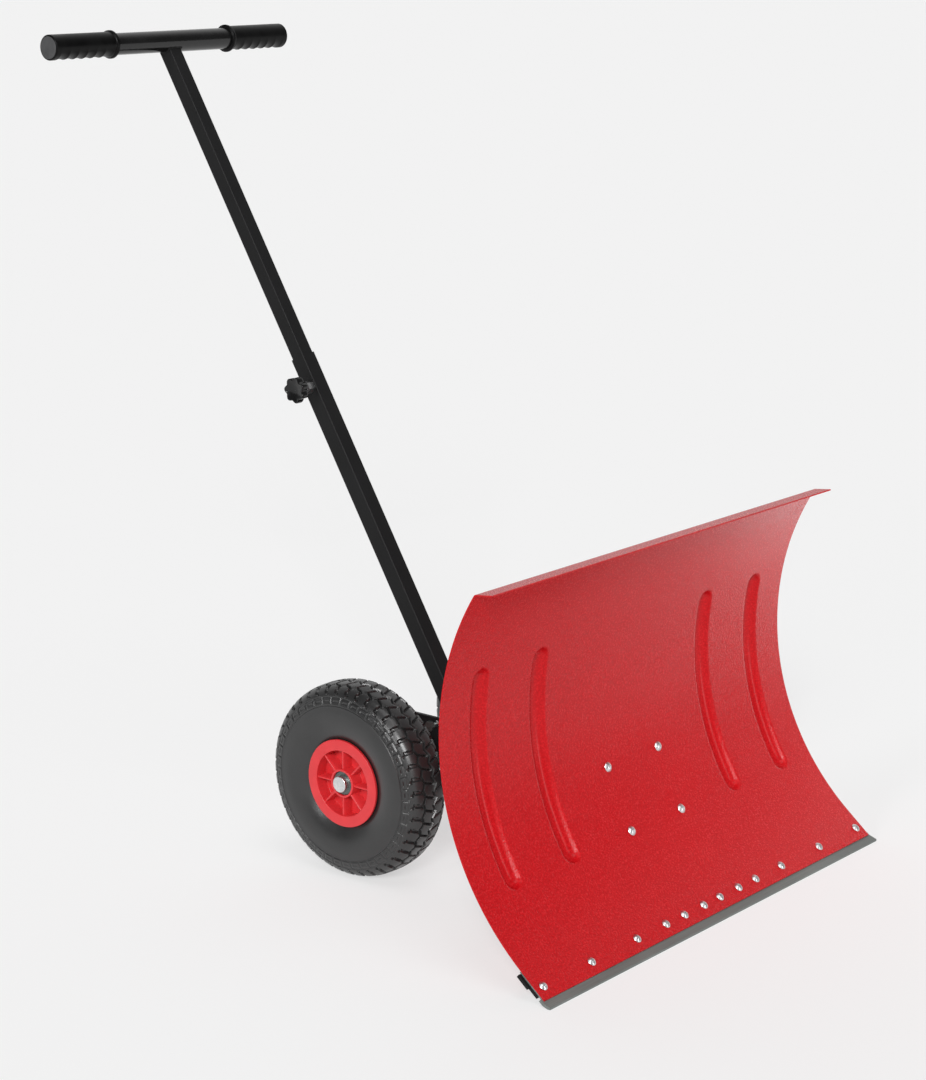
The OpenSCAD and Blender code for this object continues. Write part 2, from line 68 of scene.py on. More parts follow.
HALF_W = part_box("blade")[1].x
SHEET_T = 1.8 * MM                        # lengths along the sheet start at its lower edge
EDGE = np.array([8.5, 8.0]) * MM          # lower edge of the blade's face, as (y, z)
EDGE_ANGLE = math.radians(50.75)
BAND_LEN = 46 * MM
CURVE_R = 340 * MM
CURVE_ANGLE = math.radians(83.5)
LIP_LEN = 25.8 * MM
LIP_RISE = math.radians(6.8)
BEND_R = 2.5 * MM
RIB_X = (180 * MM, 297 * MM)              # ribs, out from the blade's middle
RIB_HALF_W = 15 * MM
RIB_DEPTH = 9 * MM
RIB_SPAN = (137 * MM, 419 * MM)

AXLE = Vector(joints["left_wheel_spin"]["pos_m"])
WHEEL_X = (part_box("right_tyre")[0].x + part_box("right_tyre")[1].x) / 2
POLE_DIR = Vector(joints["pole_height"]["axis"])
POLE_BACK = Vector((0, POLE_DIR.z, -POLE_DIR.y))
KNOB = Vector(joints["knob_turn"]["pos_m"])
PIVOT = Vector(joints["pole_tilt"]["pos_m"])
POLE_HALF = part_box("upper_pole")[1].x
bar_low, bar_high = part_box("t_bar")
BAR = (bar_low + bar_high) / 2
BAR_R = (bar_high.z - bar_low.z) / 2
HANDLE_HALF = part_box("right_grip")[1].x
GRIP_LEN = HANDLE_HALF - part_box("right_grip")[0].x


# ---------------------------------------------------------------- node-based materials


class Nodes:
    """A short way to build a material's node tree."""

    def __init__(self, name):
        self.material = bpy.data.materials.new(name)
        self.material.use_nodes = True
        self.tree = self.material.node_tree
        self.bsdf = self.tree.nodes["Principled BSDF"]
        coords = self.tree.nodes.new("ShaderNodeTexCoord")
        self.point = coords.outputs["Object"]

    def node(self, kind, inputs=None, **settings):
        """A new node with its settings, and its inputs linked or set."""
        made = self.tree.nodes.new(kind)
        for key, value in settings.items():
            setattr(made, key, value)
        for key, value in (inputs or {}).items():
            if isinstance(value, bpy.types.NodeSocket):
                self.tree.links.new(value, made.inputs[key])
            else:
                made.inputs[key].default_value = value
        return made

    def set(self, **values):
        """Links or sets inputs of the material's own shader, named with _ for a space."""
        for key, value in values.items():
            socket = self.bsdf.inputs[key.replace("_", " ")]
            if isinstance(value, bpy.types.NodeSocket):
                self.tree.links.new(value, socket)
            else:
                socket.default_value = value

    def scaled(self, scale):
        """The object's coordinates, stretched along each axis."""
        return self.node("ShaderNodeMapping", {"Vector": self.point, "Scale": scale}).outputs["Vector"]

    def noise(self, scale, detail, rough=0.5, vector=None):
        """Noise from 0 to 1 over the object's coordinates, or over another vector."""
        inputs = {"Vector": vector or self.point, "Scale": scale, "Detail": detail, "Roughness": rough}
        return self.node("ShaderNodeTexNoise", inputs).outputs["Fac"]

    def ramp(self, value, *stops):
        """Colour that goes from the first of two (value, colour) stops to the second."""
        made = self.node("ShaderNodeValToRGB", {"Fac": value})
        for element, (at, colour) in zip(made.color_ramp.elements, stops):
            element.position = at
            element.color = (*colour, 1)
        return made.outputs["Color"]

    def blend(self, share, first, second):
        """Mix of two colours: a Mix node's sockets 6 and 7, and its output 2, are the colour ones."""
        made = self.node("ShaderNodeMix", {"Factor": share}, data_type="RGBA")
        self.tree.links.new(first, made.inputs[6])
        self.tree.links.new(second, made.inputs[7])
        return made.outputs[2]

    def range(self, value, low, high, to_low, to_high):
        """Carries low to high over to another range, clamped."""
        inputs = {"Value": value, "From Min": low, "From Max": high, "To Min": to_low, "To Max": to_high}
        return self.node("ShaderNodeMapRange", inputs).outputs["Result"]

    def bump(self, height, distance, strength, normal=None):
        """Normal bumped by a height, over a distance in metres."""
        inputs = {"Height": height, "Distance": distance, "Strength": strength}
        if normal is not None:
            inputs["Normal"] = normal
        return self.node("ShaderNodeBump", inputs).outputs["Normal"]


def red_powder_coat():
    """Red powder coat with a hammered grain, which the pressed ribs flatten."""
    m = Nodes("red_powder_coat")
    grain = m.noise(400, 2.0, 0.6)
    fine = m.noise(900, 2.0)
    broad = m.noise(9, 2.0)
    pressed = m.node("ShaderNodeAttribute", attribute_name="pressed").outputs["Fac"]
    relief = m.range(pressed, 0.05, 0.6, 0.85, 0.12)
    deep = m.ramp(grain, (0.35, (0.40, 0.004, 0.007)), (0.65, (0.54, 0.008, 0.012)))
    light = m.ramp(grain, (0.35, (0.44, 0.005, 0.008)), (0.65, (0.58, 0.010, 0.014)))
    m.set(
        Base_Color=m.blend(broad, deep, light),
        Roughness=m.range(grain, 0.3, 0.7, 0.20, 0.30),
        Normal=m.bump(fine, 0.0001, 0.3, normal=m.bump(grain, 0.0008, relief)),
        Specular_IOR_Level=0.17,
    )
    return m.material


def black_powder_coat():
    """Smooth black powder coat of the tubes and the frame."""
    m = Nodes("black_powder_coat")
    grain = m.noise(900, 2.0)
    broad = m.noise(14, 3.0)
    m.set(
        Base_Color=m.ramp(broad, (0.3, (0.0075, 0.0075, 0.0077)), (0.75, (0.0105, 0.0105, 0.011))),
        Roughness=m.range(broad, 0.3, 0.7, 0.46, 0.54),
        Normal=m.bump(grain, 0.0001, 0.4),
        Specular_IOR_Level=0.15,
    )
    return m.material


def gloss_black_paint():
    """Glossier black of the T-bar."""
    m = Nodes("gloss_black_paint")
    broad = m.noise(22, 3.0)
    m.set(
        Base_Color=m.ramp(broad, (0.3, (0.004, 0.004, 0.004)), (0.75, (0.007, 0.007, 0.007))),
        Roughness=m.range(broad, 0.3, 0.7, 0.12, 0.26),
        Normal=m.bump(m.noise(70, 2.0), 0.0004, 0.3),
        Specular_IOR_Level=0.5,
    )
    return m.material


def zinc_plate():
    """Bright zinc plating with faint cloudy spangle."""
    m = Nodes("zinc_plate")
    cloud = m.noise(260, 3.0)
    fine = m.noise(1600, 2.0)
    m.set(
        Base_Color=m.ramp(cloud, (0.3, (0.62, 0.63, 0.64)), (0.7, (0.80, 0.80, 0.80))),
        Metallic=1.0,
        Roughness=m.range(fine, 0.3, 0.7, 0.26, 0.38),
        Normal=m.bump(fine, 0.00005, 0.4),
    )
    return m.material


def dark_steel():
    """Dark oiled steel of the hubs' washers and of the pivot and lock bolts."""
    m = Nodes("dark_steel")
    fine = m.noise(700, 3.0)
    m.set(
        Base_Color=m.ramp(fine, (0.3, (0.10, 0.115, 0.11)), (0.7, (0.17, 0.19, 0.18))),
        Metallic=0.8,
        Roughness=m.range(fine, 0.3, 0.7, 0.35, 0.5),
    )
    return m.material


def strip_steel():
    """Grey scraper strip with streaks along its length."""
    m = Nodes("strip_steel")
    streak = m.noise(1.0, 4.0, 0.6, vector=m.scaled((9, 700, 700)))
    patch = m.noise(7, 3.0)
    mixed = m.node("ShaderNodeMix", {"Factor": 0.45, "A": streak, "B": patch}, data_type="FLOAT")
    tone = mixed.outputs["Result"]
    m.set(
        Base_Color=m.ramp(tone, (0.3, (0.10, 0.112, 0.106)), (0.7, (0.19, 0.210, 0.200))),
        Metallic=0.1,
        Roughness=m.range(streak, 0.3, 0.7, 0.45, 0.62),
        Normal=m.bump(streak, 0.0001, 0.5),
    )
    return m.material


def tyre_rubber():
    """Satin moulded rubber, a little dusty."""
    m = Nodes("tyre_rubber")
    fine = m.noise(1400, 2.0)
    cloud = m.noise(30, 3.0)
    m.set(
        Base_Color=m.ramp(cloud, (0.3, (0.014, 0.014, 0.0142)), (0.75, (0.020, 0.020, 0.0202))),
        Roughness=m.range(cloud, 0.3, 0.7, 0.30, 0.38),
        Normal=m.bump(fine, 0.00010, 0.4),
        Specular_IOR_Level=0.65,
    )
    return m.material


def red_plastic():
    """Moulded red plastic of the rims."""
    m = Nodes("red_plastic")
    cloud = m.noise(40, 2.0)
    fine = m.noise(1500, 2.0)
    m.set(
        Base_Color=m.ramp(cloud, (0.3, (0.60, 0.024, 0.030)), (0.7, (0.66, 0.030, 0.036))),
        Roughness=m.range(cloud, 0.3, 0.7, 0.34, 0.42),
        Normal=m.bump(fine, 0.00006, 0.3),
    )
    return m.material


def black_plastic(name, rough, tone, gloss=0.3):
    """Moulded black plastic or rubber, with a range of roughness, a base tone and a gloss."""
    m = Nodes(name)
    cloud = m.noise(60, 2.0)
    fine = m.noise(1800, 2.0)
    m.set(
        Base_Color=m.ramp(
            cloud, (0.3, (tone, tone, tone * 1.03)), (0.7, (tone * 1.5, tone * 1.5, tone * 1.55))
        ),
        Roughness=m.range(cloud, 0.3, 0.7, *rough),
        Normal=m.bump(fine, 0.00006, 0.4),
        Specular_IOR_Level=gloss,
    )
    return m.material


def brass():
    """Turned brass of the clamp's pad."""
    m = Nodes("brass")
    turned = m.noise(900, 2.0)
    m.set(
        Base_Color=m.ramp(turned, (0.3, (0.55, 0.40, 0.17)), (0.7, (0.68, 0.52, 0.24))),
        Metallic=1.0,
        Roughness=m.range(turned, 0.3, 0.7, 0.25, 0.38),
    )
    return m.material


def floor_paint():
    """Pale matt studio floor, lit from within so that shadows on it stay faint."""
    m = Nodes("floor_paint")
    m.set(
        Base_Color=(0.38, 0.38, 0.38, 1),
        Roughness=1.0,
        Specular_IOR_Level=0.0,
        Emission_Color=(1, 1, 1, 1),
        Emission_Strength=FLOOR_GLOW,
    )
    return m.material


RED = red_powder_coat()
BLACK = black_powder_coat()
GLOSS_BLACK = gloss_black_paint()
ZINC = zinc_plate()
DARK_STEEL = dark_steel()
STRIP = strip_steel()
RUBBER = tyre_rubber()
RED_PLASTIC = red_plastic()
BUSH = black_plastic("bush_plastic", (0.35, 0.45), 0.03)
PLUG = black_plastic("plug_plastic", (0.4, 0.5), 0.015)
GRIP = black_plastic("grip_rubber", (0.3, 0.4), 0.002, 0.14)
# the end discs get a paler grey than the grip rubber: partly painted reflection, standing in for the sheen
# their flat ends catch
GRIP_END = black_plastic("grip_end_rubber", (0.5, 0.6), 0.045)
KNOB_PLASTIC = black_plastic("knob_plastic", (0.16, 0.22), 0.004, 0.4)
BRASS = brass()


# ---------------------------------------------------------------- mesh helpers


def add_mesh(name, verts, faces, material, body, replaces=(), sharp=None):
    """A smooth-shaded piece that rides on a body, with hard edges where faces turn by over sharp degrees."""
    mesh = bpy.data.meshes.new(name)
    mesh.from_pydata([tuple(v) for v in verts], [], [tuple(f) for f in faces])
    mesh.validate()
    mesh.update()
    mesh.materials.append(material)
    obj = bpy.data.objects.new(name, mesh)
    bpy.context.scene.collection.objects.link(obj)
    mesh.shade_smooth()
    if sharp is not None:
        mesh.set_sharp_from_angle(angle=math.radians(sharp))
    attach(obj, body)
    if replaces:
        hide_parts(*replaces)
    return obj


def grid_faces(rows, cols, wrap_rows=False, wrap_cols=False, offset=0, flip=False):
    """Quads of a grid of points stored row by row."""
    rows_used = np.arange(rows if wrap_rows else rows - 1)
    cols_used = np.arange(cols if wrap_cols else cols - 1)
    r, c = np.meshgrid(rows_used, cols_used, indexing="ij")
    r2 = (r + 1) % rows
    c2 = (c + 1) % cols
    quads = np.stack([r * cols + c, r * cols + c2, r2 * cols + c2, r2 * cols + c], -1).reshape(-1, 4)
    if flip:
        quads = quads[:, ::-1]
    return quads + offset


def smooth_curve(points, per_span):
    """Catmull-Rom curve through points."""
    p = np.asarray(points, float)
    last = len(p) - 1
    out = []
    for i in range(last):
        a, b, c, d = p[max(i - 1, 0)], p[i], p[i + 1], p[min(i + 2, last)]
        for t in np.arange(per_span) / per_span:
            square = (2 * a - 5 * b + 4 * c - d) * t**2
            cube = (3 * b - a - 3 * c + d) * t**3
            out.append(0.5 * (2 * b + (c - a) * t + square + cube))
    out.append(p[-1])
    return np.array(out)


def sweep(path, radius, sides, wobble):
    """A closed tube of round section along a loop of points, its radius uneven by a share."""
    askew = (1.0, 0.21, 0.37)             # a direction that no part of the path runs in
    ripple = 6                            # points from one swelling to the next
    p = np.asarray(path, float)
    n = len(p)
    ahead = np.roll(p, -1, 0) - np.roll(p, 1, 0)
    tangent = ahead / np.linalg.norm(ahead, axis=1)[:, None]
    side = np.cross(tangent, askew)
    side /= np.linalg.norm(side, axis=1)[:, None]
    up = np.cross(tangent, side)
    angle = np.arange(sides) * 2 * math.pi / sides
    r = radius * (1 + wobble * np.sin(np.arange(n) * 2 * math.pi / ripple))
    ring = np.cos(angle)[None, :, None] * side[:, None, :] + np.sin(angle)[None, :, None] * up[:, None, :]
    verts = (p[:, None, :] + r[:, None, None] * ring).reshape(-1, 3)
    return verts, grid_faces(n, sides, wrap_rows=True, wrap_cols=True)


def lathe(profile, count):
    """Turns a profile of (axial, radius) points about the X axis through the origin."""
    profile = np.asarray(profile, float)
    angle = np.arange(count) * 2 * math.pi / count
    axial = np.repeat(profile[:, 0][:, None], count, 1)
    verts = np.stack(
        [axial, profile[:, 1][:, None] * np.cos(angle), profile[:, 1][:, None] * np.sin(angle)], -1
    ).reshape(-1, 3)
    return verts, grid_faces(len(profile), count, wrap_cols=True)


def smoothstep(x, low, high):
    """Rises from 0 at low to 1 at high, level at both."""
    t = np.clip((x - low) / (high - low), 0, 1)
    return t * t * (3 - 2 * t)


# ---------------------------------------------------------------- blade

band_end = EDGE + BAND_LEN * np.array([math.sin(EDGE_ANGLE), math.cos(EDGE_ANGLE)])
CURVE_C = band_end + CURVE_R * np.array([-math.cos(EDGE_ANGLE), math.sin(EDGE_ANGLE)])
CURVE_END = BAND_LEN + CURVE_R * CURVE_ANGLE
TOP_SLOPE = EDGE_ANGLE - CURVE_ANGLE
RIB_MARGIN = 4.5 * MM          # the grid is fine this far past a rib
RIB_STEP_X = 1.3 * MM
RIB_STEP_S = 2.0 * MM
FIELD_STEP = 9 * MM            # widest column of the grid
EDGE_STEP = 0.4 * MM           # narrow cells at the sheet's edges keep them crisp


def sheet_section(s):
    """Points on the sheet's front face and back-facing normals, at distances s from the lower edge."""
    s = np.asarray(s, float)
    slope = EDGE_ANGLE - np.clip(s - BAND_LEN, 0, CURVE_END - BAND_LEN) / CURVE_R
    y = CURVE_C[0] + CURVE_R * np.cos(slope)
    z = CURVE_C[1] - CURVE_R * np.sin(slope)
    low = np.minimum(s - BAND_LEN, 0)
    y = y + low * math.sin(EDGE_ANGLE)
    z = z + low * math.cos(EDGE_ANGLE)
    return np.stack([y, z], -1), np.stack([np.cos(slope), -np.sin(slope)], -1)


def rib_depth(x, s):
    """How far the pressed ribs push the sheet back."""
    r = (RIB_HALF_W**2 + RIB_DEPTH**2) / (2 * RIB_DEPTH)
    depth = np.zeros(np.broadcast(x, s).shape)
    fillet = 2.2 * MM
    softness = 0.1
    for centre in RIB_X:
        for side in (-1, 1):
            along = np.clip(s, RIB_SPAN[0] + RIB_HALF_W, RIB_SPAN[1] - RIB_HALF_W)
            away = np.hypot(x - side * centre, s - along)
            round_part = np.sqrt(np.maximum(r**2 - np.minimum(away, r) ** 2, 0)) - (r - RIB_DEPTH)
            # a soft corner at the rib's mouth
            soft = 0.5 * (round_part + np.sqrt(round_part**2 + fillet**2 * softness))
            soft *= 1 - smoothstep(away, RIB_HALF_W, RIB_HALF_W + fillet)
            depth = np.maximum(depth, soft)
    return depth


def blade_stations():
    """Places of the grid's columns across the blade and of its rows along the sheet."""
    half = RIB_HALF_W + RIB_MARGIN
    rib_lines = []
    for centre in RIB_X:
        rib_lines += list(np.arange(centre - half, centre + half + 1e-6, RIB_STEP_X))
    xs = sorted(set(np.round(np.concatenate([rib_lines, [HALF_W, HALF_W - EDGE_STEP, 0]]), 6)))
    filled = [xs[0]]
    for x in xs[1:]:
        extra = int((x - filled[-1]) // FIELD_STEP)
        filled += list(np.linspace(filled[-1], x, extra + 2)[1:])
    xs = np.array(filled)
    xs = np.concatenate([-xs[:0:-1], xs])
    fine = np.arange(RIB_SPAN[0] - RIB_MARGIN, RIB_SPAN[1] + 5 * MM, RIB_STEP_S)
    s = np.concatenate([
        [0, EDGE_STEP], np.linspace(6 * MM, RIB_SPAN[0] - 8 * MM, 16), fine,
        np.linspace(RIB_SPAN[1] + 8 * MM, CURVE_END - 2 * MM, 14),
    ])
    return xs, s


def blade_mesh():
    """The sheet's front and back faces with their edges, and how deep each point is pressed."""
    xs, s = blade_stations()
    section, normal = sheet_section(s)
    top, top_normal = sheet_section([CURVE_END])
    # the bend into the lip: the front face turns on a small radius
    start_dir = np.array([math.sin(TOP_SLOPE), math.cos(TOP_SLOPE)])
    end_dir = np.array([-math.cos(LIP_RISE), math.sin(LIP_RISE)])
    turn = math.acos(float(start_dir @ end_dir))
    tangent_len = BEND_R * math.tan(turn / 2)
    bend_centre = top[0] - start_dir * tangent_len - top_normal[0] * BEND_R
    first = -start_dir * tangent_len + top[0] - bend_centre
    bend_points, bend_normals = [], []
    for t in np.linspace(0, 1, 9):
        a = turn * t
        rotated = np.array([
            first[0] * math.cos(a) - first[1] * math.sin(a),
            first[0] * math.sin(a) + first[1] * math.cos(a),
        ])
        bend_points.append(bend_centre + rotated)
        bend_normals.append(rotated / BEND_R)
    lip_normal = bend_normals[-1]
    lip_run = np.array([6 * MM, 14 * MM, LIP_LEN - EDGE_STEP, LIP_LEN])
    lip_points = [top[0] + end_dir * run for run in lip_run]
    front = np.concatenate([section, bend_points, lip_points])
    back_dir = np.concatenate([normal, bend_normals, [lip_normal] * len(lip_points)])
    pressed = np.zeros((len(front), len(xs)))
    pressed[: len(s)] = rib_depth(xs[None, :], s[:, None])

    def surface(extra):
        """Points of the face that lies a thickness behind the front one."""
        yz = front[:, None, :] + back_dir[:, None, :] * (pressed[..., None] + extra)
        x = np.broadcast_to(xs[None, :, None], yz.shape[:2] + (1,))
        return np.concatenate([x, yz], -1).reshape(-1, 3)

    rows, cols = len(front), len(xs)
    verts = np.concatenate([surface(0.0), surface(SHEET_T)])
    n = rows * cols
    faces = [grid_faces(rows, cols, flip=True), grid_faces(rows, cols, offset=n)]
    i = np.arange(rows - 1)
    j = np.arange(cols - 1)
    left = i * cols
    right = i * cols + cols - 1
    top_row = (rows - 1) * cols + j
    faces.append(np.stack([left, left + cols, left + cols + n, left + n], -1)[:, ::-1])
    faces.append(np.stack([right, right + n, right + cols + n, right + cols], -1)[:, ::-1])
    faces.append(np.stack([j, j + 1, j + 1 + n, j + n], -1))
    faces.append(np.stack([top_row, top_row + n, top_row + 1 + n, top_row + 1], -1))
    return verts, np.concatenate(faces), np.tile(pressed.ravel() / RIB_DEPTH, 2)


blade_verts, blade_faces, blade_pressed = blade_mesh()
blade = add_mesh("blade_sheet", blade_verts, blade_faces, RED, "frame", ["blade"], sharp=40)
# how deep each point is pressed, which smooths the paint's grain there
blade.data.attributes.new("pressed", "FLOAT", "POINT").data.foreach_set("value", blade_pressed)


# ---------------------------------------------------------------- wheels

PITCHES = 44                   # lugs round the tyre
LUG_STEPS = 14                 # points of the mesh in each
LUG_R = 125                    # mm, where the lugs' pitch is measured
# outline of half the tyre without its grooves, as (distance from the middle, radius) in mm
TREAD_HALF = [
    (0, 133), (8, 132.9), (16, 132), (23.5, 129.6), (29.5, 124.8), (33.8, 117.5), (36.8, 108), (38.5, 98),
    (38.7, 90), (37.9, 82.5), (36, 74.5), (33.4, 67.5), (31.2, 62.8), (30, 60.5), (28.6, 57), (28, 51),
]


def wave(t):
    """Triangle wave of period 1, from -1 to 1."""
    return 4 * np.abs(t - np.floor(t + 0.5)) - 1


def tread_depth(w, turn):
    """Depth of the tread's grooves at w mm from the crown's middle line and at a turn counted in lugs."""
    a = np.abs(w)
    t = turn + np.where(w < 0, 0.5, 0.0)
    edge = 0.9

    def groove(distance, half_width, depth):
        """Depth of a groove at a distance from its middle line."""
        return depth * (1 - smoothstep(np.abs(distance), half_width - edge / 2, half_width + edge / 2))

    def near(phase):
        """Signed distance in mm to the nearest line of that phase, one line a lug."""
        return (phase - np.round(phase)) * (2 * math.pi * LUG_R / PITCHES)

    # a zigzag in the middle, slanted cuts beside it, a ring on each side and cuts across the shoulders
    zig = 3.2 * wave(turn)
    depth = groove(w - zig, 1.4, 3.8)
    crown = (a > 1.0) & (a < 18.5)
    depth = np.maximum(depth, np.where(crown, groove(near(t + 0.018 * a), 1.2, 3.4), 0))
    ring = 18.5 + 1.8 * wave(t + 0.25)
    depth = np.maximum(depth, groove(a - ring, 1.5, 4.0))
    shoulder = (a > ring) & (a < 33.5)
    depth = np.maximum(depth, np.where(shoulder, groove(near(t + 0.5 + 0.006 * a), 2.2, 3.4), 0))
    # rounded lug bars run down over the shoulder
    bar_end = 1 - smoothstep(a, 32.0, 40.0)
    shallow = (a >= 33.5) & (a < 41)
    depth = np.maximum(depth, np.where(shallow, groove(near(t + 0.5), 2.0, 3.0) * bar_end, 0))
    # and flat outlined lugs below them, on the sidewall
    lugs = (a > 39) & (a < 51.5)
    depth = np.maximum(depth, np.where(lugs, groove(near(t), 1.1, 0.9), 0))
    inside = (a > 39) & (a < 50) & (np.abs(near(t + 0.5)) < 6.6)
    depth = np.maximum(depth, np.where(inside, groove(a - 40.0, 1.1, 1.0), 0))
    middle = inside & (np.abs(near(t + 0.5)) < 4.5)
    depth = np.maximum(depth, np.where(middle, groove(a - 45.4, 0.7, 0.9), 0))
    depth = np.maximum(depth, groove(a - 51.0, 0.9, 0.9))
    # the plain wall lies a little lower than the lugs
    return depth + 0.7 * smoothstep(a, 49.0, 55.0)


def tyre_mesh(outward):
    """Tyre with grooves cut into its outline, and a plain inside."""
    half = smooth_curve(TREAD_HALF, 12)
    full = np.concatenate([half[::-1] * [-1, 1], half[1:]])
    step = np.r_[0, np.cumsum(np.linalg.norm(np.diff(full, axis=0), axis=1))]
    middle = step[len(half) - 1]
    tread = np.arange(-54, 54.01, 0.95)
    wall = np.arange(57.5, step[-1] - middle, 4.0)
    w = np.concatenate([[-(step[-1] - middle)], -wall[::-1], tread, wall, [step[-1] - middle]])
    x = np.interp(w + middle, step, full[:, 0])
    r = np.interp(w + middle, step, full[:, 1])
    nx = np.gradient(r, w)
    nr = np.gradient(x, w)
    normal = np.stack([-nx, nr], -1)
    normal /= np.linalg.norm(normal, axis=1)[:, None]
    count = PITCHES * LUG_STEPS
    turn = np.arange(count) / LUG_STEPS
    depth = tread_depth(w[:, None], turn[None, :])
    xx = x[:, None] - normal[:, 0][:, None] * depth
    rr = r[:, None] - normal[:, 1][:, None] * depth
    angle = turn * 2 * math.pi / PITCHES
    verts = np.stack([xx, rr * np.cos(angle), rr * np.sin(angle)], -1).reshape(-1, 3) * MM
    outside = grid_faces(len(w), count, wrap_cols=True, flip=True)
    inner = smooth_curve([
        (28, 51), (20, 58), (29, 80), (29, 100), (20, 120), (0, 124),
        (-20, 120), (-29, 100), (-29, 80), (-20, 58), (-28, 51),
    ], 3)
    inner_count = count // 4
    inner_verts, _ = lathe(inner * MM, inner_count)
    inside = grid_faces(len(inner), inner_count, wrap_cols=True, offset=len(verts), flip=True)
    verts = np.concatenate([verts, inner_verts])
    verts[:, 0] *= outward
    faces = np.concatenate([outside, inside])
    return verts, faces[:, ::-1] if outward < 0 else faces


def rounded(points, soft):
    """A closed outline with each corner drawn as a short curve of four points."""
    p = np.asarray(points, float)
    out = []
    for i in range(len(p)):
        a, b, c = p[i - 1], p[i], p[(i + 1) % len(p)]
        la, lc = np.linalg.norm(a - b), np.linalg.norm(c - b)
        d = min(soft, la / 3, lc / 3)
        start, end = b + (a - b) / la * d, b + (c - b) / lc * d
        for t in (0, 0.33, 0.67, 1):
            out.append((1 - t) ** 2 * start + 2 * t * (1 - t) * b + t * t * end)
    return np.array(out)


def rim_mesh(outward):
    """Ribbed one-piece rim: flanges, barrel, web, boss and ribs with softened edges."""
    half = 34.0                    # mm, as all lengths here
    sides = 128
    # outline of a section, as (distance from the middle, radius)
    outline = rounded([
        (half, 60), (half, 45), (15, 45), (15, 19.6), (half, 19.6), (half, 16.5),
        (-half, 16.5), (-half, 19.6), (11, 19.6), (11, 45), (-half, 45), (-half, 60),
        (-30, 60), (-30, 50), (30, 50), (30, 60),
    ], 0.8)
    verts, faces = lathe(outline * MM, sides)
    wrap = grid_faces(2, sides, wrap_cols=True)
    wrap = np.where(wrap < sides, wrap + (len(outline) - 1) * sides, wrap - sides)
    all_verts, all_faces = [verts], [np.concatenate([faces, wrap])[:, ::-1]]
    base = len(verts)
    # ribs, on both sides of the web, drawn as plates with rounded top edges
    ribs = 8
    t = 1.3                        # half a rib's thickness
    crown = 1.2                    # height of its rounded top
    across = [(-t, 0), (-t, 0.55), (-t * 0.7, 0.9), (0, 1.0), (t * 0.7, 0.9), (t, 0.55), (t, 0)]
    for web, top in ((15, half - 2.2), (11, -half + 2.2)):
        sign = 1 if top > web else -1
        for i in range(ribs):
            angle = i * 2 * math.pi / ribs
            radial = np.array([0, math.cos(angle), math.sin(angle)])
            tangent = np.array([0, -math.sin(angle), math.cos(angle)])
            for r in (17.5, 47.0):
                for u, lift in across:
                    axial = web - sign * 1.0 if lift == 0 else top + sign * (lift - 1.0) * crown
                    all_verts.append((np.array([axial, 0, 0]) + radial * r + tangent * u)[None, :] * MM)
            all_faces.append(grid_faces(2, len(across), offset=base, flip=sign > 0))
            base += 2 * len(across)
    verts = np.concatenate(all_verts)
    faces = np.concatenate(all_faces)
    verts[:, 0] *= outward
    return verts, faces[:, ::-1] if outward < 0 else faces


for side, outward in (("left", -1), ("right", 1)):
    place = np.array([outward * WHEEL_X, AXLE.y, AXLE.z])
    wheel = f"{side}_wheel"
    verts, faces = tyre_mesh(outward)
    verts = verts + place
    add_mesh(f"{side}_tyre_tread", verts, faces, RUBBER, wheel, [f"{side}_tyre"], sharp=38)
    verts, faces = rim_mesh(outward)
    verts = verts + place
    add_mesh(f"{side}_rim_shell", verts, faces, RED_PLASTIC, wheel, [f"{side}_rim"], sharp=50)


# ---------------------------------------------------------------- grips


GRIP_SIDES = 72
FINGERS = 6
FINGER_ROOM = 9 * MM           # plain length at each end of the finger hollows
FINGER_DEPTH = 1.4 * MM


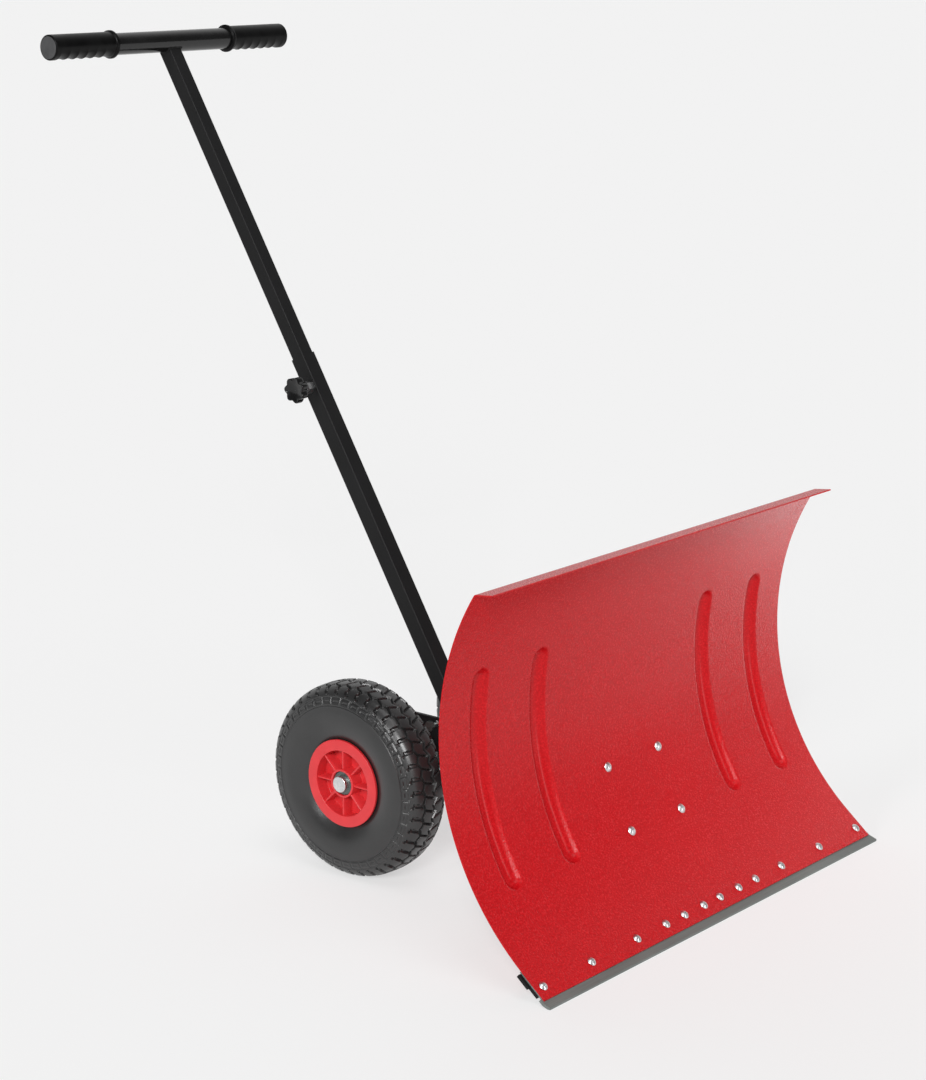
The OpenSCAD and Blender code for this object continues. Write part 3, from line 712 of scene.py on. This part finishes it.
def grip_mesh(outward):
    """Rubber grip with a ring at its inner end, finger hollows underneath and a closed end."""
    inner = HANDLE_HALF - GRIP_LEN
    core, ring = 17.3 * MM, 19.4 * MM
    bore = BAR_R + 0.1 * MM
    bore_depth = 20 * MM
    xs = np.concatenate([
        np.linspace(0, 6.5 * MM, 10),
        np.linspace(7.5 * MM, GRIP_LEN - 4 * MM, 90),
        GRIP_LEN - np.array([3, 2, 1.2, 0.6, 0.2, 0]) * MM,
    ])
    # the ring swells out of the core, and its first edge is rounded off
    r = np.full(len(xs), core)
    swell = smoothstep(xs, -0.2 * MM, 1.4 * MM) * (1 - smoothstep(xs, 4.0 * MM, 7.0 * MM))
    r += (ring - core) * swell - 1.2 * MM * (1 - smoothstep(xs, -0.6 * MM, 1.4 * MM))
    # the outer end is rounded off too
    end = GRIP_LEN - xs
    corner = 1.6 * MM
    r -= np.where(end < corner, corner - np.sqrt(np.maximum(corner**2 - (corner - end) ** 2, 0)), 0)
    start, stop = FINGER_ROOM, GRIP_LEN - FINGER_ROOM
    phase = (xs - start) / (stop - start) * FINGERS
    hollow = np.where((xs > start) & (xs < stop), np.sin(math.pi * (phase % 1.0)) ** 0.7, 0)
    angle = np.arange(GRIP_SIDES) * 2 * math.pi / GRIP_SIDES
    down = np.clip(-np.sin(angle) * 1.25, 0, 1) ** 1.2
    radius = r[:, None] - FINGER_DEPTH * hollow[:, None] * down[None, :]
    across = np.repeat(xs[:, None], GRIP_SIDES, 1)
    verts = np.stack([across, radius * np.cos(angle), radius * np.sin(angle)], -1).reshape(-1, 3)
    a = np.arange(GRIP_SIDES)
    b = np.roll(a, -1)
    faces = [grid_faces(len(xs), GRIP_SIDES, wrap_cols=True)]
    cap_ring = (len(xs) - 1) * GRIP_SIDES + a
    centre = np.full(GRIP_SIDES, len(verts))
    verts = np.concatenate([verts, [[GRIP_LEN, 0, 0]]])
    faces.append(np.stack([cap_ring, np.roll(cap_ring, -1), centre, centre], -1))
    # the mouth, down to the bar
    mouth = np.stack([np.zeros(GRIP_SIDES), bore * np.cos(angle), bore * np.sin(angle)], -1)
    deep = mouth + np.array([bore_depth, 0, 0])
    base = len(verts)
    verts = np.concatenate([verts, mouth, deep])
    faces.append(np.stack([a, a + base, b + base, b], -1))
    faces.append(np.stack([a + base, a + base + GRIP_SIDES, b + base + GRIP_SIDES, b + base], -1))
    faces = np.concatenate(faces)
    verts[:, 0] = (verts[:, 0] + inner) * outward
    if outward < 0:
        faces = faces[:, ::-1]
    # a face that names a point twice is a triangle
    return verts, [tuple(dict.fromkeys(f)) for f in faces[:, ::-1].tolist()]


def grip_end_disc(outward):
    """Slightly raised disc on a grip's closed end."""
    profile = np.array([(0, 15.2), (0.5, 15.0), (0.8, 14.4), (0.9, 10), (0.9, 0.1)]) * MM
    verts, faces = lathe(profile, 64)
    verts[:, 0] = (verts[:, 0] + HANDLE_HALF - 0.1 * MM) * outward
    return verts, faces if outward < 0 else faces[:, ::-1]


bar_place = np.array([0, BAR.y, BAR.z])
for side, outward in (("left", -1), ("right", 1)):
    verts, faces = grip_end_disc(outward)
    add_mesh(
        f"{side}_grip_end", verts + bar_place, faces, GRIP_END, "upper_pole_group", sharp=40,
    )
    verts, faces = grip_mesh(outward)
    add_mesh(
        f"{side}_grip_rubber", verts + bar_place, faces, GRIP, "upper_pole_group",
        [f"{side}_grip"], sharp=42,
    )


# ---------------------------------------------------------------- star knob


def knob_mesh():
    """Star knob with soft lobes, a dished face and a neck."""
    count = 140
    lobes = 7
    angle = np.arange(count) * 2 * math.pi / count
    lobe = 0.5 + 0.5 * np.cos(lobes * angle)
    star = (15.0 + 3.5 * lobe**0.8) * MM
    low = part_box("star_knob")[0].x
    # (share of the star outline, plain radius in mm, distance from the outer face in mm)
    stations = [
        (0, 0.2, 2.8), (0, 3.0, 2.75), (0, 6.0, 2.4), (0, 8.5, 1.8), (0, 10.5, 1.1), (0.5, 12.5, 0.5),
        (0.9, 0, 0.05), (0.97, 0, 0.3), (0.995, 0, 1.2), (1.0, 0, 3), (1.0, 0, 9), (0.99, 0, 10.8),
        (0.95, 0, 11.8), (0.85, 0, 12), (0, 9.2, 12.0), (0, 8.6, 12.6), (0, 8.3, 16), (0, 4.1, 16),
    ]
    rings = []
    for share, plain, depth in stations:
        r = share * star + (1 - share) * plain * MM
        rings.append(np.stack([np.full(count, low + depth * MM), r * np.cos(angle), r * np.sin(angle)], -1))
    return np.concatenate(rings), grid_faces(len(stations), count, wrap_cols=True, flip=True)


verts, faces = knob_mesh()
verts = verts + np.array([0, KNOB.y, KNOB.z])
add_mesh("star_knob_head", verts, faces, KNOB_PLASTIC, "knob", ["star_knob"], sharp=45)


# ---------------------------------------------------------------- weld bead


def pole_point(x, back, along):
    """A point at distances across, behind and along the pole, from its pivot."""
    return np.array(PIVOT) + np.array([x, 0, 0]) + np.array(POLE_BACK) * back + np.array(POLE_DIR) * along


def bar_weld():
    """Bead where the pole's top meets the T-bar."""
    offset = (BAR - PIVOT).dot(POLE_BACK)
    along = (BAR - PIVOT).dot(POLE_DIR)
    half = POLE_HALF + 0.2 * MM
    back_half = half * 0.93        # stays under the bar, which lies in front of the pole's line
    side_points = 14
    corners = [(-half, -half), (half, -half), (half, back_half), (-half, back_half)]
    loop = []
    for (x0, b0), (x1, b1) in zip(corners, corners[1:] + corners[:1]):
        for t in np.arange(side_points) / side_points:
            x, back = x0 + (x1 - x0) * t, b0 + (b1 - b0) * t
            drop = math.sqrt(max(BAR_R**2 - (back - offset) ** 2, 0))
            loop.append(pole_point(x, back, along - drop))
    return sweep(loop, 1.7 * MM, sides=8, wobble=0.12)


verts, faces = bar_weld()
add_mesh("bar_weld_bead", verts, faces, BLACK, "upper_pole_group")


# ---------------------------------------------------------------- CAD nodes that stay

LOOKS = {
    "scraper_strip": STRIP, "clamp_bar": BLACK, "strip_bolts": ZINC, "strip_nuts": ZINC,
    "frame_bolts": ZINC, "frame_nuts": ZINC, "left_mount_plate": BLACK, "right_mount_plate": BLACK,
    "left_cheek": BLACK, "right_cheek": BLACK, "front_cross_tube": BLACK, "rear_cross_tube": BLACK,
    "axle": ZINC, "left_axle_spacer": BLACK, "right_axle_spacer": BLACK, "axle_washers": DARK_STEEL,
    "left_axle_cap": ZINC, "right_axle_cap": ZINC, "left_bushes": BUSH, "right_bushes": BUSH,
    "pivot_bolt": DARK_STEEL, "pivot_nut": DARK_STEEL, "pivot_spacers": ZINC,
    "lock_bolt": DARK_STEEL, "lock_nut": DARK_STEEL, "lock_spacers": ZINC,
    "lower_pole": BLACK, "foot_plug": PLUG, "clamp_boss": ZINC, "upper_pole": BLACK,
    "guide_plug": PLUG, "t_bar": GLOSS_BLACK, "clamp_pad": BRASS, "clamp_stud": ZINC,
}
for name, material in LOOKS.items():
    mesh = nodes[name].data
    mesh.materials.clear()
    mesh.materials.append(material)
    for polygon in mesh.polygons:
        polygon.material_index = 0


# ---------------------------------------------------------------- floor, light and camera


def add_light(kind, name, energy, location, target=(0, 0, 0), size=(1.0, 1.0), angle=0.0):
    """A light turned to a target: a panel of a size in metres, or a sun of an angle in degrees."""
    data = bpy.data.lights.new(name, kind)
    data.energy = energy
    if kind == "AREA":
        data.shape = "RECTANGLE"
        data.size, data.size_y = size
    else:
        data.angle = math.radians(angle)
    obj = bpy.data.objects.new(name, data)
    bpy.context.scene.collection.objects.link(obj)
    obj.location = location
    obj.rotation_euler = (Vector(target) - Vector(location)).to_track_quat("-Z", "Y").to_euler()
    obj.visible_camera = False
    return obj


def light_only(light, pieces):
    """Lets a light fall on some pieces and not on the floor."""
    lit = bpy.data.collections.new(light.name + "_lit")
    for piece in pieces:
        lit.objects.link(piece)
    light.light_linking.receiver_collection = lit


def add_floor():
    """Floor that runs out of sight."""
    half = 120
    mesh = bpy.data.meshes.new("floor")
    corners = [(-half, -half, 0), (half, -half, 0), (half, half, 0), (-half, half, 0)]
    mesh.from_pydata(corners, [], [(0, 1, 2, 3)])
    mesh.materials.append(floor_paint())
    obj = bpy.data.objects.new("floor", mesh)
    bpy.context.scene.collection.objects.link(obj)


def add_world():
    """Plain pale backdrop for the camera, and a dimmer sky to light the scene, brighter behind the shovel."""
    world = bpy.data.worlds.new("studio")
    bpy.context.scene.world = world
    world.use_nodes = True
    tree = world.node_tree
    background = tree.nodes["Background"]
    background.inputs["Color"].default_value = (1, 1, 1, 1)
    path = tree.nodes.new("ShaderNodeLightPath")
    strength = tree.nodes.new("ShaderNodeMapRange")
    direction = tree.nodes.new("ShaderNodeTexCoord")
    share = tree.nodes.new("ShaderNodeVectorMath")
    share.operation = "DOT_PRODUCT"
    share.inputs[1].default_value = BACK_DIRECTION
    behind = tree.nodes.new("ShaderNodeMapRange")
    behind.interpolation_type = "SMOOTHSTEP"
    behind.inputs["From Min"].default_value = BACK_EDGE[0]
    behind.inputs["From Max"].default_value = BACK_EDGE[1]
    behind.inputs["To Min"].default_value = SKY_LIGHT
    behind.inputs["To Max"].default_value = SKY_LIGHT + BACK_LIGHT
    tree.links.new(direction.outputs["Generated"], share.inputs[0])
    tree.links.new(share.outputs["Value"], behind.inputs["Value"])
    tree.links.new(behind.outputs["Result"], strength.inputs["To Min"])
    strength.inputs["To Max"].default_value = PALE
    tree.links.new(path.outputs["Is Camera Ray"], strength.inputs["Value"])
    tree.links.new(strength.outputs["Result"], background.inputs["Strength"])


CAMERA_PLACE = (-2.6313, -1.7318, 1.2567)
CAMERA_AZIMUTH = math.radians(-50.74)
CAMERA_ELEVATION = math.radians(14.57)


def add_camera():
    """The photograph's camera."""
    data = bpy.data.cameras.new("camera")
    data.sensor_fit = "VERTICAL"
    data.sensor_height = 36
    data.lens = 86.81
    data.shift_x = -0.0095
    data.shift_y = 0.042
    data.clip_end = 400
    level = math.cos(CAMERA_ELEVATION)
    right = Vector((math.cos(CAMERA_AZIMUTH), math.sin(CAMERA_AZIMUTH), 0))
    back = Vector((
        math.sin(CAMERA_AZIMUTH) * level, -math.cos(CAMERA_AZIMUTH) * level, math.sin(CAMERA_ELEVATION)
    ))
    up = back.cross(right)
    camera = bpy.data.objects.new("camera", data)
    bpy.context.scene.collection.objects.link(camera)
    rotation = Matrix((right, up, back)).transposed()
    camera.matrix_world = Matrix.Translation(CAMERA_PLACE) @ rotation.to_4x4()
    bpy.context.scene.camera = camera


add_floor()
add_world()
add_light("SUN", "key_sun", 2.0, (-0.78, -0.52, 0.5), angle=14)
add_light("SUN", "top_sun", 0.65, (-0.2, -0.3, 0.9), angle=35)
add_light("SUN", "left_sun", 0.7, (-0.93, 0.02, 0.34), angle=12)
# a narrow upright light that draws the bright lines on the ribs, the tubes and the tyre
front_strip = add_light("AREA", "front_strip", 13, (0.35, -2.2, 0.75), (0.05, 0.1, 0.3), size=(0.06, 1.9))
light_only(front_strip, [obj for obj in bpy.data.objects if obj.type == "MESH" and obj.name != "floor"])
# a low panel that pales the blade's right side
side_panel = add_light("AREA", "side_panel", 1.4, (1.0, 0.05, 0.12), (0.25, 0.1, 0.45), size=(0.5, 0.5))
light_only(side_panel, [blade])
add_camera()
bpy.context.scene.view_settings.view_transform = "Standard"
